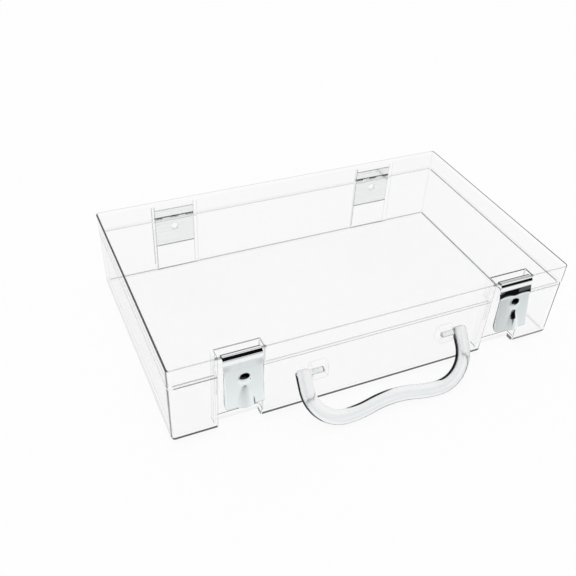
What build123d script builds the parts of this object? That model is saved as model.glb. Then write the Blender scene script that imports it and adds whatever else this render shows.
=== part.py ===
from build123d import *
import os
from math import asin, atan, cos, degrees, radians, sin, sqrt, tan

# A clear moulded case: a tray and a lid joined by two sheet metal hinges at the back,
# closed by two sprung metal latches and carried by a moulded bail handle at the front.
# X runs along the case, Y to its back, Z up. The origin is the middle of the underside.

# Case, its outer sizes taken at the top of the lid
case_length = 280.0
case_width = 170.0
case_height = 60.0
seam_height = 45.0
seam_gap = 0.2
wall = 2.2
floor_thickness = 2.2
lid_thickness = 2.2
draft_angle = 1.15
corner_radius = 2.5
inner_corner_radius = 1.2
foot_fillet = 2.4
lid_fillet = 0.7
root_depth = 0.5

# Latch channels in the front wall
latch_end_distance = 44.5
channel_width = 28.0
channel_depth = 7.6
channel_wall = 1.8

# Latch: sheet metal rolled round a wire pin
latch_width = 24.5
latch_sheet = 0.8
latch_pin_radius = 0.8
pin_clearance = 0.05
latch_axis_inset = 1.5
latch_axis_drop = 1.5
curl_sweep = 200.0
strip_depth = 3.1
band_height = 6.9
kink_step = 1.5
kink_height = 2.6
lever_lean = 10.0
lever_bottom = 24.8
bend_radius = 0.9
front_radius = 1.7
flange_set = 0.4
flange_low = 4.2
flange_foot = 1.2
flange_corner = 2.5
dome_height = 43.4
dome_radius = 4.2
dome_rise = 1.5
bulge_top = 37.0
bulge_half_width = 5.5
bulge_rise = 1.9
bulge_tip = 2.2

# Catch posts behind the latches
catch_width = 7.0
catch_low = 38.5
catch_thickness = 5.0
catch_gap = 0.5
catch_fillet = 1.5

# Rear hinges: two leaves of sheet metal with rolled knuckles on a pin
hinge_end_distance = 56.5
leaf_width = 29.4
leaf_sheet = 0.7
leaf_gap = 0.1
base_leaf_low = 21.8
lid_leaf_high = 53.2
hinge_pin_radius = 0.7
hinge_clearance = 0.05
knuckle_count = 5
knuckle_gap = 0.3
hinge_offset = 1.7
recess_side_gap = 0.3
recess_top = 57.0
recess_inset = 1.8
recess_wall = 2.0
recess_rib = 1.8

# Stakes moulded on the tray, whose heads hold the hinge leaves
stake_height = 37.2
stake_radius = 2.5
stake_clearance = 0.3
stake_head_radius = 3.3
stake_head_thickness = 0.9
stake_head_taper = 30.0

# Bail handle and its two bosses
pivot_height = 31.0
pivot_reach = 3.4
boss_inner = 40.0
boss_width = 11.2
boss_height = 11.0
boss_nose = 3.2
boss_fillet = 2.2
bore_depth = 9.0
stub_radius = 1.8
stub_length = 8.4
stub_clearance = 0.05
handle_width = 9.6
handle_thickness = 6.0
handle_edge = 2.2
handle_gap = 0.4
arm_length = 9.4
arm_bend = 23.0
grip_dip = 3.5
ground_gap = 0.3

# Heights of the two rims and half sizes of the case, which widens upwards
rim_height = seam_height - seam_gap / 2
lid_bottom = seam_height + seam_gap / 2
draft_slope = tan(radians(draft_angle))


def half_length(height):
    return case_length / 2 - (case_height - height) * draft_slope


def half_width(height):
    return case_width / 2 - (case_height - height) * draft_slope


# Latch channels and hinge recesses in plan
latch_x = case_length / 2 - latch_end_distance
hinge_x = case_length / 2 - hinge_end_distance
latch_places = [("left", -latch_x), ("right", latch_x)]
hinge_places = [("left", -hinge_x), ("right", hinge_x)]
channel_back = -case_width / 2 + channel_depth
housing_width = channel_width + 2 * channel_wall
housing_inner = channel_back + wall
recess_floor = case_width / 2 - recess_inset
recess_width = leaf_width + 2 * recess_side_gap
pad_width = recess_width + 2 * recess_rib
pad_inner = recess_floor - recess_wall

# Hinge axis, level with the seam and just outside the back wall
leaf_inner = recess_floor + leaf_gap
leaf_outer = leaf_inner + leaf_sheet
hinge_y = leaf_inner + hinge_offset
hinge_z = seam_height
knuckle_bore = hinge_pin_radius + hinge_clearance
knuckle_radius = knuckle_bore + leaf_sheet
knuckle_length = (leaf_width - (knuckle_count - 1) * knuckle_gap) / knuckle_count
knuckle_pitch = knuckle_length + knuckle_gap
leaf_edge = knuckle_radius + knuckle_gap

# Latch axis, inside the rounded top edge of the front wall
latch_y = -case_width / 2 + latch_axis_inset
latch_z = case_height - latch_axis_drop
latch_pin_length = housing_width - 2 * pin_clearance

# Middle line of the lever's sheet, seen from the side
curl_radius = latch_pin_radius + pin_clearance + latch_sheet / 2
strip_end = latch_y - strip_depth
strip_level = latch_z + curl_radius
band_bottom = strip_level - band_height
band_middle = strip_level - band_height / 2
plate_top = (strip_end - kink_step, band_bottom - kink_height)
lean = radians(lever_lean)
plate_out = Vector(0, -cos(lean), sin(lean))
plate_up = Vector(0, sin(lean), cos(lean))


def plate_point(x, height, depth=0.0):
    """A point of the leaning plate's middle sheet, moved outwards by the depth."""
    y = plate_top[0] - (plate_top[1] - height) * tan(lean)
    return Vector(x, y, height) + plate_out * depth


# Round-nosed cone that swells out of the plate, its axis sinking inwards as it goes down
bulge_length = (bulge_top - lever_bottom) / cos(lean)
bulge_pitch = atan(bulge_rise / bulge_length)
bulge_ratio = bulge_length / sqrt(bulge_length ** 2 + bulge_half_width ** 2)
bulge_tilt = atan((cos(bulge_pitch) - bulge_ratio) / sin(bulge_pitch))
bulge_half_angle = bulge_tilt + bulge_pitch
bulge_axis = plate_up * cos(bulge_tilt) + plate_out * sin(bulge_tilt)

# Handle pivot, and the angle below level at which the grip lies on the ground
pivot_y = -half_width(pivot_height) - pivot_reach
boss_outer = boss_inner + boss_width
arm_x = boss_outer + handle_gap + handle_width / 2
crest_x = arm_x - arm_bend
crest_reach = arm_length + arm_bend
edge_reach = crest_reach + handle_width / 2 - handle_edge
edge_side = handle_thickness / 2 - handle_edge
rest_drop = pivot_height - ground_gap - handle_edge
rest = asin(rest_drop / sqrt(edge_reach ** 2 + edge_side ** 2)) - atan(edge_side / edge_reach)
handle_normal = (0, -sin(rest), cos(rest))
handle_plane = Plane(origin=(0, pivot_y, pivot_height), x_dir=(1, 0, 0), z_dir=handle_normal)


def case_outline(height, inset, radius):
    """Rounded outline of the case at a height, moved in by the inset."""
    RectangleRounded(2 * (half_length(height) - inset), 2 * (half_width(height) - inset), radius)


def inner_blocks(front_reach):
    """Plan of the housings round the latch channels and of the pads behind the hinge recesses."""
    with Locations(*[(x, housing_inner) for _, x in latch_places]):
        Rectangle(housing_width, housing_inner + front_reach, align=(Align.CENTER, Align.MAX))
    with Locations(*[(x, pad_inner) for _, x in hinge_places]):
        Rectangle(pad_width, recess_wall, align=(Align.CENTER, Align.MIN))


def channel_cuts():
    """Plan of the two latch channels, cut right out through the front."""
    with Locations(*[(x, channel_back) for _, x in latch_places]):
        Rectangle(channel_width, case_width, align=(Align.CENTER, Align.MAX))


def recess_cuts():
    """Plan of the two hinge recesses, cut right out through the back."""
    with Locations(*[(x, recess_floor) for _, x in hinge_places]):
        Rectangle(recess_width, case_width, align=(Align.CENTER, Align.MIN))


def make_tray():
    """The tray, with its latch channels, catches, hinge recesses, stakes and handle bosses."""
    with BuildPart() as tray:
        with BuildSketch(Plane.XY):
            case_outline(0, 0, corner_radius)
        extrude(amount=rim_height, taper=-draft_angle)
        fillet(tray.edges().group_by(Axis.Z)[0], radius=foot_fillet)
        with BuildSketch(Plane.XY.offset(floor_thickness)):
            case_outline(floor_thickness, wall, inner_corner_radius)
        extrude(amount=case_height, taper=-draft_angle, mode=Mode.SUBTRACT)
        block_low = floor_thickness - root_depth
        with BuildSketch(Plane.XY.offset(block_low)):
            inner_blocks(half_width(floor_thickness) - wall + root_depth)
        extrude(amount=rim_height - block_low)
        # Handle bosses, rooted in the front wall
        boss_root = -half_width(pivot_height - boss_height / 2) + root_depth
        with Locations((0, boss_root, pivot_height)):
            with GridLocations(boss_inner + boss_outer, 0, 2, 1):
                Box(
                    boss_width,
                    boss_root - pivot_y + boss_nose,
                    boss_height,
                    align=(Align.CENTER, Align.MAX, Align.CENTER),
                )
        noses = tray.faces().filter_by(Axis.Y).group_by(Axis.Y)[0]
        fillet(noses.edges(), radius=boss_fillet)
        # Channels and recesses, open at the foot
        with BuildSketch(Plane.XY):
            channel_cuts()
            recess_cuts()
        extrude(amount=case_height, mode=Mode.SUBTRACT)
        # Catch posts, which stop just short of the latches
        catch_tip = plate_point(0, catch_low + catch_thickness, -latch_sheet / 2).Y + catch_gap
        with BuildSketch(Plane.XY.offset(catch_low)) as posts:
            with Locations(*[(x, channel_back) for _, x in latch_places]):
                Rectangle(catch_width, channel_back - catch_tip, align=(Align.CENTER, Align.MAX))
            fillet(posts.vertices().group_by(Axis.Y)[0], radius=catch_fillet)
        extrude(amount=catch_thickness)
        # Stakes through the hinge leaves, with their formed heads
        head_plane = Plane.XZ.offset(-leaf_outer - leaf_gap)
        for _, x in hinge_places:
            with BuildSketch(Plane.XZ.offset(-recess_floor)):
                with Locations((x, stake_height)):
                    Circle(stake_radius)
            extrude(amount=recess_floor - leaf_outer - leaf_gap)
            with BuildSketch(head_plane):
                with Locations((x, stake_height)):
                    Circle(stake_head_radius)
            extrude(amount=-stake_head_thickness, taper=stake_head_taper)
        # Bores for the handle's stubs
        for side in (-1, 1):
            with BuildSketch(Plane.YZ.offset(side * boss_outer)):
                with Locations((pivot_y, pivot_height)):
                    Circle(stub_radius + stub_clearance)
            extrude(amount=-side * bore_depth, mode=Mode.SUBTRACT)
    return tray.part


def make_lid():
    """The lid, with its latch pockets, pin holes and hinge recesses."""
    lid_height = case_height - lid_bottom
    with BuildPart() as lid:
        with BuildSketch(Plane.XY.offset(lid_bottom)):
            case_outline(lid_bottom, 0, corner_radius)
        extrude(amount=lid_height, taper=-draft_angle)
        fillet(lid.edges().group_by(Axis.Z)[-1], radius=lid_fillet)
        with BuildSketch(Plane.XY.offset(lid_bottom)):
            case_outline(lid_bottom, wall, inner_corner_radius)
        extrude(amount=lid_height - lid_thickness, taper=-draft_angle, mode=Mode.SUBTRACT)
        with BuildSketch(Plane.XY.offset(lid_bottom)):
            inner_blocks(half_width(lid_bottom) - wall + root_depth)
        extrude(amount=lid_height - lid_thickness + root_depth)
        with BuildSketch(Plane.XY.offset(lid_bottom)):
            channel_cuts()
        extrude(amount=case_height, mode=Mode.SUBTRACT)
        with BuildSketch(Plane.XY.offset(lid_bottom)):
            recess_cuts()
        extrude(amount=recess_top - lid_bottom, mode=Mode.SUBTRACT)
        # Holes for the latch pins in the pockets' side walls
        for _, x in latch_places:
            with BuildSketch(Plane.YZ.offset(x - housing_width / 2)):
                with Locations((latch_y, latch_z)):
                    Circle(latch_pin_radius + pin_clearance)
            extrude(amount=housing_width, mode=Mode.SUBTRACT)
    return lid.part


def make_dome(x, inset):
    """Ball whose cap stands out of the lever, smaller by the inset."""
    ball = (dome_radius ** 2 + dome_rise ** 2) / (2 * dome_rise)
    centre = plate_point(x, dome_height, latch_sheet / 2 + dome_rise - ball)
    with BuildPart(Location(centre)) as dome:
        Sphere(ball - inset)
    return dome.part


def make_bulge(x, inset):
    """Round-nosed cone that stands out of the lever's lower half, smaller by the inset."""
    nose = bulge_tip - inset
    cone_top = nose * cos(bulge_half_angle)
    cone_height = 2 * bulge_length
    tip = plate_point(x, bulge_top, latch_sheet / 2)
    centre = tip - bulge_axis * (bulge_tip / sin(bulge_half_angle))
    with BuildPart(Plane(origin=centre, x_dir=(1, 0, 0), z_dir=bulge_axis)) as bulge:
        Sphere(nose)
        with Locations((0, 0, nose * sin(bulge_half_angle))):
            Cone(
                cone_top + cone_height * tan(bulge_half_angle),
                cone_top,
                cone_height,
                align=(Align.CENTER, Align.CENTER, Align.MAX),
            )
    return bulge.part


def make_lever(x):
    """Latch lever: rolled round its pin, with a flat strip, a leaning plate and side flanges."""
    plate_face = Plane(origin=plate_point(x, lever_bottom), x_dir=(1, 0, 0), z_dir=plate_out)
    low_point = plate_point(x, lever_bottom - latch_sheet)
    with BuildPart() as swellings:
        add(make_dome(x, 0))
        add(make_bulge(x, 0))
        split(bisect_by=plate_face, keep=Keep.TOP)
    with BuildPart() as lever:
        with BuildSketch(Plane.YZ.offset(x - latch_width / 2)):
            with BuildLine():
                CenterArc((latch_y, latch_z), curl_radius, 90, -curl_sweep)
                FilletPolyline(
                    (latch_y, strip_level),
                    (strip_end, strip_level),
                    (strip_end, band_middle),
                    radius=front_radius,
                )
                FilletPolyline(
                    (strip_end, band_middle),
                    (strip_end, band_bottom),
                    plate_top,
                    (low_point.Y, low_point.Z),
                    radius=bend_radius,
                )
            trace(line_width=latch_sheet)
        extrude(amount=latch_width)
        add(swellings.part)
        add(make_dome(x, latch_sheet), mode=Mode.SUBTRACT)
        add(make_bulge(x, latch_sheet), mode=Mode.SUBTRACT)
        # Flanges that deepen towards the bottom
        flange_back = (plate_top[0] - flange_set, lever_bottom + flange_low)
        for edge in (x - latch_width / 2, x + latch_width / 2 - latch_sheet):
            with BuildSketch(Plane.YZ.offset(edge)) as flange:
                with BuildLine():
                    Polyline(
                        plate_top,
                        flange_back,
                        (low_point.Y + flange_foot, low_point.Z),
                        (low_point.Y, low_point.Z),
                        close=True,
                    )
                make_face()
                fillet(flange.vertices().sort_by_distance(flange_back)[0], radius=flange_corner)
            extrude(amount=latch_sheet)
        split(bisect_by=Plane.XY.offset(lever_bottom), keep=Keep.TOP)
    return lever.part


def make_latch_pin(x):
    """Wire pin across the lid's latch pocket."""
    with BuildPart() as pin:
        with BuildSketch(Plane.YZ.offset(x - latch_pin_length / 2)):
            with Locations((latch_y, latch_z)):
                Circle(latch_pin_radius)
        extrude(amount=latch_pin_length)
    return pin.part


def make_leaf(x, way, far, first):
    """Hinge leaf: a plate from the knuckles to its far edge, and every second knuckle."""
    near = hinge_z + way * leaf_edge
    with BuildPart() as leaf:
        with BuildSketch(Plane.XZ.offset(-leaf_inner)):
            with Locations((x, (near + far) / 2)):
                Rectangle(leaf_width, abs(far - near))
            with Locations((x, stake_height)):
                Circle(stake_radius + stake_clearance, mode=Mode.SUBTRACT)
        extrude(amount=-leaf_sheet)
        for index in range(first, knuckle_count, 2):
            start = x - leaf_width / 2 + index * knuckle_pitch
            with BuildSketch(Plane.YZ.offset(start)):
                with Locations((leaf_inner, hinge_z)):
                    web_align = (Align.MIN, Align.MIN if way > 0 else Align.MAX)
                    Rectangle(leaf_sheet, leaf_edge + leaf_sheet, align=web_align)
                with Locations((hinge_y, hinge_z)):
                    Circle(knuckle_radius)
                    Circle(knuckle_bore, mode=Mode.SUBTRACT)
            extrude(amount=knuckle_length)
    return leaf.part


def make_hinge_pin(x):
    """Pin through all the knuckles of one hinge."""
    with BuildPart() as pin:
        with BuildSketch(Plane.YZ.offset(x - leaf_width / 2)):
            with Locations((hinge_y, hinge_z)):
                Circle(hinge_pin_radius)
        extrude(amount=leaf_width)
    return pin.part


def make_handle():
    """Bail: two arms with stubs, and a grip whose middle bows towards the case."""
    wave_radius = (crest_x ** 2 + grip_dip ** 2) / (4 * grip_dip)
    wave_angle = degrees(asin(crest_x / 2 / wave_radius))
    middle_reach = crest_reach - grip_dip
    with BuildPart() as handle:
        with BuildLine(handle_plane) as path:
            Line((arm_x, 0), (arm_x, -arm_length))
            CenterArc((crest_x, -arm_length), arm_bend, 0, -90)
            CenterArc((crest_x, wave_radius - crest_reach), wave_radius, -90, -wave_angle)
            CenterArc((0, -middle_reach - wave_radius), wave_radius, 90 - wave_angle, wave_angle)
        route = path.wire()
        section_plane = Plane(origin=route @ 0, x_dir=(1, 0, 0), z_dir=route % 0)
        with BuildSketch(section_plane):
            RectangleRounded(handle_width, handle_thickness, handle_edge)
        sweep()
        # Round end of the arm, the half section turned about the pivot
        with BuildSketch(section_plane):
            RectangleRounded(handle_width, handle_thickness, handle_edge)
            Rectangle(
                handle_width,
                handle_thickness,
                align=(Align.CENTER, Align.MIN),
                mode=Mode.INTERSECT,
            )
        revolve(axis=Axis(route @ 0, (1, 0, 0)))
        with BuildSketch(Plane.YZ.offset(arm_x)):
            with Locations((pivot_y, pivot_height)):
                Circle(stub_radius)
        extrude(amount=boss_outer - stub_length - arm_x)
        mirror(about=Plane.YZ)
    return handle.part


parts = {"base_tray": make_tray(), "lid": make_lid(), "handle": make_handle()}
for side, x in latch_places:
    parts["latch_lever_" + side] = make_lever(x)
    parts["latch_pin_" + side] = make_latch_pin(x)
for side, x in hinge_places:
    parts["hinge_base_leaf_" + side] = make_leaf(x, -1, base_leaf_low, 0)
    parts["hinge_lid_leaf_" + side] = make_leaf(x, 1, lid_leaf_high, 1)
    parts["hinge_pin_" + side] = make_hinge_pin(x)

os.makedirs("parts", exist_ok=True)
for name, part in parts.items():
    part.label = name
    export_step(part, "parts/" + name + ".step")
print("handle rests", round(degrees(rest), 2), "degrees below level")
print("handle pivot", round(pivot_y, 3), round(pivot_height, 3))
print("latch pivot", round(latch_y, 3), round(latch_z, 3))
print("hinge pivot", round(hinge_y, 3), round(hinge_z, 3))
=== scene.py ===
import math
import bmesh
import bpy
from mathutils import Matrix, Vector


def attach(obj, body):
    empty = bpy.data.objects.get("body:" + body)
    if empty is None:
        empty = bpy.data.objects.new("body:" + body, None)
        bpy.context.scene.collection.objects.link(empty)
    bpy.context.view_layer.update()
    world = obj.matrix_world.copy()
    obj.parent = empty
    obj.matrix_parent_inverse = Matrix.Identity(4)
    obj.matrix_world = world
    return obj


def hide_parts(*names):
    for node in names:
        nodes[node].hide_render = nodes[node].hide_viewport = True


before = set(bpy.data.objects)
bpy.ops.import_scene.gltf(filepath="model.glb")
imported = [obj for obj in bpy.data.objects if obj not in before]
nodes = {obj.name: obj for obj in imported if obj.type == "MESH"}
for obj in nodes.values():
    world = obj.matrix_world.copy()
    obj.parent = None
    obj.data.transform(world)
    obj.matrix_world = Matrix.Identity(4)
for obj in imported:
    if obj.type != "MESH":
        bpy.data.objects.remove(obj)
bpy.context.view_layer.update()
sides = {"left": -1, "right": 1}


def mm(value):
    return value / 1000


def smoothStep(low, high, value):
    t = min(max((value - low) / (high - low), 0), 1)
    return t * t * (3 - 2 * t)


def hump(stops, value):
    # rises between the first two stops and falls between the last two
    return smoothStep(stops[0], stops[1], value) * smoothStep(stops[3], stops[2], value)


def addObject(name, data):
    thing = bpy.data.objects.new(name, data)
    bpy.context.scene.collection.objects.link(thing)
    return thing


# The camera stands where the photograph was taken from
cameraPlace = {
    "target": (mm(-30.31), mm(-6.0), mm(29.64)),
    "distance": mm(531.22),
    "azimuth": -25.845,  # degrees, 0 looks along +Y
    "elevation": 38.335,
    "roll": 3.266,
    "lens": 47.917,
    "sensor": 36.0,
    "nearest": mm(10),
}


def makeCamera(place):
    azimuth, elevation, roll = [math.radians(place[name]) for name in ("azimuth", "elevation", "roll")]
    reach = math.cos(elevation)
    back = Vector((math.sin(azimuth) * reach, -math.cos(azimuth) * reach, math.sin(elevation)))
    level = Vector((0, 0, 1)).cross(back).normalized()
    upright = back.cross(level)
    right = level * math.cos(roll) + upright * math.sin(roll)
    up = upright * math.cos(roll) - level * math.sin(roll)
    data = bpy.data.cameras.new("photoCamera")
    data.sensor_width = place["sensor"]
    data.lens = place["lens"]
    data.clip_start = place["nearest"]
    camera = addObject("photoCamera", data)
    spot = Vector(place["target"]) + back * place["distance"]
    turn = Matrix((right, up, back)).transposed().to_4x4()
    camera.matrix_world = Matrix.Translation(spot) @ turn
    bpy.context.scene.camera = camera


def hexColour(text):
    # sRGB hex to the linear values that shaders take
    parts = [int(text[i:i + 2], 16) / 255 for i in (1, 3, 5)]
    return [c / 12.92 if c <= 0.04045 else ((c + 0.055) / 1.055) ** 2.4 for c in parts] + [1.0]


def addNode(tree, kind, values=None):
    # kind is without the tree's own ShaderNode or GeometryNode; values go by an input's name or
    # number, or by a property's name; a node stands for its first output, and outputs are linked
    node = tree.nodes.new(tree.bl_idname.replace("Tree", kind))
    for name, value in (values or {}).items():
        if isinstance(value, bpy.types.Node):
            value = value.outputs[0]
        if isinstance(value, bpy.types.NodeSocket):
            tree.links.new(value, node.inputs[name])
        elif isinstance(name, int) or name in node.inputs:
            node.inputs[name].default_value = value
        else:
            setattr(node, name, value)
    return node


# What a smooth ramp between two values shares, rising from 0 to 1 or falling from 1 to 0
rising = {"interpolation_type": "SMOOTHSTEP", "To Min": 0.0, "To Max": 1.0}
falling = {"interpolation_type": "SMOOTHSTEP", "To Min": 1.0, "To Max": 0.0}


def newMaterial(name):
    material = bpy.data.materials.new(name)
    material.use_nodes = True
    material.node_tree.nodes.clear()
    return material, material.node_tree


# Crystal polystyrene, injection moulded, in thin walls: they show what is behind them unbent, with a wet
# gloss; the grey lines along their rounded edges are painted shade
wallLook = {
    "gloss": 0.5,
    "glossPower": 5.0,
    "roughness": 0.03,
    "ior": 1.5,
    "paintedShadeColour": "#242C2B",
    "edgeMost": 0.97,
    "faceTint": "#FEFEFE",
    "flowScale": 9.0,
    "flowDetail": 2.0,
    "flowShare": 0.003,
    "grazeFrom": 0.6,
    "grazeTo": 0.92,
    "grazeShare": 0.5,
}


def makeWall(name, look):
    material, tree = newMaterial(name)
    place = addNode(tree, "TexCoord")
    # painted shade on the edges and rounds, set for each corner when the shells are made
    shade = addNode(tree, "Attribute", {"attribute_name": "edgeShade"}).outputs["Fac"]
    rounded = addNode(tree, "Attribute", {"attribute_name": "paintedGrazeShare"}).outputs["Fac"]
    # more painted shade on rounds that are seen at a glance
    glance = addNode(tree, "LayerWeight", {"Blend": 0.5}).outputs["Facing"]
    graze = addNode(tree, "MapRange", {
        **rising, "Value": glance, "From Min": look["grazeFrom"], "From Max": look["grazeTo"],
        "To Max": look["grazeShare"]})
    grey = addNode(tree, "Math", {"operation": "MULTIPLY_ADD", 0: graze, 1: rounded, 2: shade})
    flow = addNode(tree, "TexNoise", {
        "Scale": look["flowScale"], "Detail": look["flowDetail"], "Vector": place.outputs["Object"]})
    grey = addNode(tree, "Math", {"operation": "MULTIPLY_ADD", 0: flow, 1: look["flowShare"], 2: grey})
    grey = addNode(tree, "Math", {"operation": "MINIMUM", 0: grey, 1: look["edgeMost"]})
    # clear skin that mirrors the room only at a glance from outside
    through = addNode(tree, "BsdfTransparent", {"Color": hexColour(look["faceTint"])})
    shine = addNode(tree, "Math", {"operation": "POWER", 0: glance, 1: look["glossPower"]})
    shine = addNode(tree, "Math", {"operation": "MULTIPLY", 0: shine, 1: look["gloss"]})
    inside = addNode(tree, "NewGeometry").outputs["Backfacing"]
    outside = addNode(tree, "Math", {"operation": "SUBTRACT", 0: 1.0, 1: inside})
    shine = addNode(tree, "Math", {"operation": "MULTIPLY", 0: shine, 1: outside})
    gloss = addNode(tree, "BsdfAnisotropic", {"Roughness": look["roughness"]})
    clear = addNode(tree, "MixShader", {0: shine, 1: through, 2: gloss})
    # the painted shade: a dark glossy skin, mixed in as far as grey goes
    line = addNode(tree, "BsdfPrincipled", {
        "Base Color": hexColour(look["paintedShadeColour"]), "Roughness": look["roughness"], "IOR": look["ior"]})
    mix = addNode(tree, "MixShader", {0: grey, 1: clear, 2: line})
    addNode(tree, "OutputMaterial", {"Surface": mix})
    return material


# The same plastic in the thick bar of the handle, which bends what is seen through it; the black along the
# edges that face the dark side of the room is a painted reflection
barLook = {
    "ior": 1.5,
    "roughness": 0.22,
    "soakColour": "#86A6AC",
    "soakDensity": 1.6,
    "streaks": 7.0,  # round the bar
    "streakDetail": 1.0,
    "streakFrom": 0.45,
    "streakTo": 0.65,
    "streakTint": "#EEF3F5",
    "paintedBlackWay": (-0.95, 0.19, 0.24),
    "darkFrom": 0.26,
    "darkTo": 0.36,
    "flatWay": (0.0, -0.8, 0.6),  # out of the bow's plane
    "rimFrom": 0.42,
    "rimTo": 0.7,
    "glanceFrom": 0.12,
    "glanceTo": 0.33,
    # the painted black stops higher on the left arm than on the right
    "topWay": (0.03, 0.0, 1.0),  # the black stops higher on the left arm than on the right
    "topFrom": mm(29.5),
    "topTo": mm(30.3),
    "paintedBlackColour": "#050707",
    "darkRoughness": 0.3,
    "darkSpecular": 0.05,
}


def makeBar(name, look):
    material, tree = newMaterial(name)
    place = addNode(tree, "TexCoord").outputs
    # painted reflections as faint streaks along the bar
    around = addNode(tree, "Attribute", {"attribute_name": "aroundBar"}).outputs["Fac"]
    flow = addNode(tree, "CombineXYZ", {0: around, 1: 0.0, 2: 0.0})
    streak = addNode(tree, "TexNoise", {
        "Scale": look["streaks"], "Detail": look["streakDetail"], "Vector": flow})
    streak = addNode(tree, "MapRange", {
        **rising, "Value": streak, "From Min": look["streakFrom"], "From Max": look["streakTo"]})
    tint = addNode(tree, "Mix", {
        "data_type": "RGBA", 0: streak, 6: (1, 1, 1, 1), 7: hexColour(look["streakTint"])}).outputs[2]
    glass = addNode(tree, "BsdfPrincipled", {
        "Base Color": tint, "IOR": look["ior"], "Transmission Weight": 1.0, "Roughness": look["roughness"]})
    # painted black reflection where the skin turns to the dark side, on the bow's rims, and below the stubs
    toPaintedBlack, toFlat, height = [addNode(tree, "VectorMath", {
        "operation": "DOT_PRODUCT", 0: place[source], 1: look[way]}).outputs["Value"]
        for source, way in (("Normal", "paintedBlackWay"), ("Normal", "flatWay"), ("Object", "topWay"))]
    rim = addNode(tree, "Math", {"operation": "ABSOLUTE", 0: toFlat})
    glance = addNode(tree, "LayerWeight", {"Blend": 0.5}).outputs["Facing"]
    share = 1.0
    for name, value, way in (("dark", toPaintedBlack, rising), ("rim", rim, falling),
                             ("glance", glance, rising), ("top", height, falling)):
        ramp = addNode(tree, "MapRange", {
            **way, "Value": value, "From Min": look[name + "From"], "From Max": look[name + "To"]})
        share = addNode(tree, "Math", {"operation": "MULTIPLY", 0: share, 1: ramp})
    dark = addNode(tree, "BsdfPrincipled", {
        "Base Color": hexColour(look["paintedBlackColour"]), "Roughness": look["darkRoughness"],
        "Specular IOR Level": look["darkSpecular"]})
    skin = addNode(tree, "MixShader", {0: share, 1: glass, 2: dark})
    path = addNode(tree, "LightPath")
    see = addNode(tree, "BsdfTransparent", {"Color": (1, 1, 1, 1)})
    mix = addNode(tree, "MixShader", {0: path.outputs["Is Shadow Ray"], 1: skin, 2: see})
    soak = addNode(tree, "VolumeAbsorption", {
        "Color": hexColour(look["soakColour"]), "Density": look["soakDensity"]})
    addNode(tree, "OutputMaterial", {"Surface": mix, "Volume": soak})
    return material


# Pressed sheet steel with bright nickel plate: a mirror with faint streaks down the sheet from rolling,
# painted shadow in its folds and along its bent edges, painted black reflections on its pressings, and a
# plate painted a little darker than its top
platedLook = {
    "colour": "#F7FAFA",
    "paintedShadowAndReflection": "#060808",
    "roughness": 0.05,
    "streakRough": 0.03,
    "streaks": 260.0,  # per metre across, about 4 mm apart
    "streakDetail": 3.0,
    "streakScale": (1.0, 0.04, 0.04),
    "streakTop": mm(56.0),
    "streakFrom": 0.4,
    "streakTo": 0.9,
    "streakTint": "#EAF0F0",
    "paintedPlateTone": "#EDF3F3",
    "plateFrom": mm(49.0),
    "plateTo": mm(52.0),
}


def makePlated(name, look):
    material, tree = newMaterial(name)
    place = addNode(tree, "TexCoord").outputs["Object"]
    height = addNode(tree, "SeparateXYZ", {0: place}).outputs[2]
    # painted shadow and painted reflections, set for each vertex of the lever
    shade = addNode(tree, "Attribute", {"attribute_name": "paintedLeverShade"}).outputs["Fac"]
    across = addNode(tree, "Mapping", {"Scale": look["streakScale"], 0: place})
    streak = addNode(tree, "TexNoise", {
        "Scale": look["streaks"], "Detail": look["streakDetail"], "Vector": across})
    below = addNode(tree, "Math", {"operation": "LESS_THAN", 0: height, 1: look["streakTop"]})
    streak = addNode(tree, "Math", {"operation": "MULTIPLY", 0: streak, 1: below})
    # the plate below the bend is painted a little darker than the top, as a painted reflection
    onPlate = addNode(tree, "MapRange", {
        **falling, "Value": height, "From Min": look["plateFrom"], "From Max": look["plateTo"]})
    inStreak = addNode(tree, "MapRange", {
        **rising, "Value": streak, "From Min": look["streakFrom"], "From Max": look["streakTo"]})
    tint = hexColour(look["colour"])
    for share, colour in ((onPlate, "paintedPlateTone"), (inStreak, "streakTint"), (shade, "paintedShadowAndReflection")):
        tint = addNode(tree, "Mix", {
            "data_type": "RGBA", 0: share, 6: tint, 7: hexColour(look[colour])}).outputs[2]
    rough = addNode(tree, "Math", {
        "operation": "MULTIPLY_ADD", 0: streak, 1: look["streakRough"], 2: look["roughness"]})
    metal = addNode(tree, "BsdfPrincipled", {"Metallic": 1.0, "Base Color": tint, "Roughness": rough})
    addNode(tree, "OutputMaterial", {"Surface": metal})
    return material


# Zinc plated sheet of the hinges: satin and pale, with a fine brushing along the pin
satinLook = {
    "colour": "#FCFDFD",
    "roughness": 0.06,
    "metallic": 0.9,
    "brushing": 900.0,
    "brushDetail": 3.0,
    "brushScale": (0.03, 1.0, 1.0),
    "brushRough": 0.05,
    "brushFrom": 0.4,
    "brushTo": 0.7,
    "brushTint": "#F2F6F6",
    # edges are painted shadow lines along the leaves' edges
    "edges": [(21.7, 22.9, 0.6), (45.9, 47.2, 0.75), (52.5, 53.3, 0.4)],  # mm up, and how dark
    "edgeSoft": 0.2,
    "paintedShadeColour": "#191D1D",
}
# Drawn wire of the pins: pale and soft, with lengthwise scratches
wireLook = {
    **satinLook,
    "colour": "#E6EAEA",
    "roughness": 0.45,
    "metallic": 0.4,
    "brushing": 1500.0,
    "brushTint": "#C9CFCF",
    "edges": [],
}


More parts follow.
